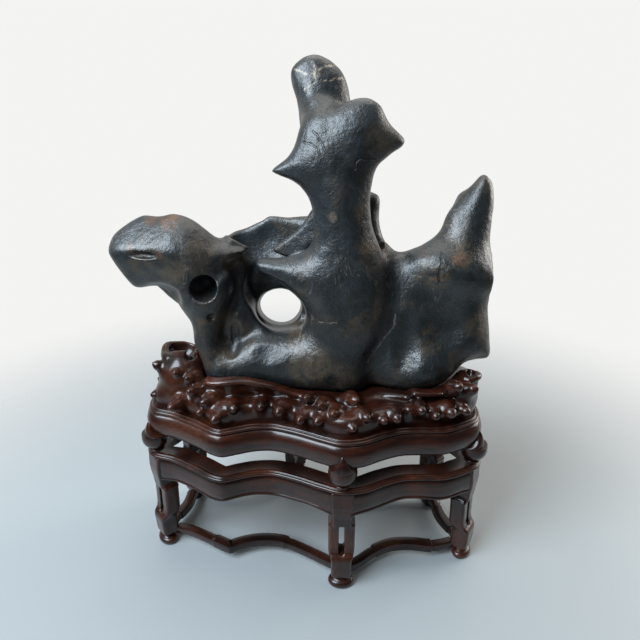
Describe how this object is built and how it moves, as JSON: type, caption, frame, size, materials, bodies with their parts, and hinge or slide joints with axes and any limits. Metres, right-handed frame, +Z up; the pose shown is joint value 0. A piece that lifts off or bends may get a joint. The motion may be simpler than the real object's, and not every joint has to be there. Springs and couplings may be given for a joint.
{
  "type": "scholar's rock with its stand",
  "caption": "Dark water-worn stone with a round hole, standing in the socket of a carved rockwork top on an open wooden stand with slotted legs.",
  "frame": {"origin": "on the floor, under the middle of the whole object's box", "axes": "+X to the right seen from the front, -Y to the front, +Z up"},
  "size_m": [0.5958, 0.2774, 0.7999],
  "materials": {
    "stone": "waxed, half gloss, near black with brown patches and pale scratches",
    "carved_wood": "dark reddish rosewood, polished",
    "rosewood": "dark reddish rosewood, polished"
  },
  "bodies": {
    "root": {"stone": "stone", "carved_top": "carved_wood", "open_frame": "rosewood", "leg_left": "rosewood", "bun_foot_left": "rosewood", "knob_foot_left": "carved_wood", "apron_front_left": "rosewood", "stretcher_front_left": "rosewood", "leg_front": "rosewood", "bun_foot_front": "rosewood", "knob_foot_front": "carved_wood", "apron_front_right": "rosewood", "stretcher_front_right": "rosewood", "leg_right": "rosewood", "bun_foot_right": "rosewood", "knob_foot_right": "carved_wood", "apron_right": "rosewood", "stretcher_right": "rosewood", "leg_back_right": "rosewood", "bun_foot_back_right": "rosewood", "knob_foot_back_right": "carved_wood", "apron_back_right": "rosewood", "stretcher_back_right": "rosewood", "leg_back": "rosewood", "bun_foot_back": "rosewood", "knob_foot_back": "carved_wood", "apron_back_left": "rosewood", "stretcher_back_left": "rosewood", "leg_back_left": "rosewood", "bun_foot_back_left": "rosewood", "knob_foot_back_left": "carved_wood", "apron_left": "rosewood", "stretcher_left": "rosewood"}
  },
  "joints": []
}
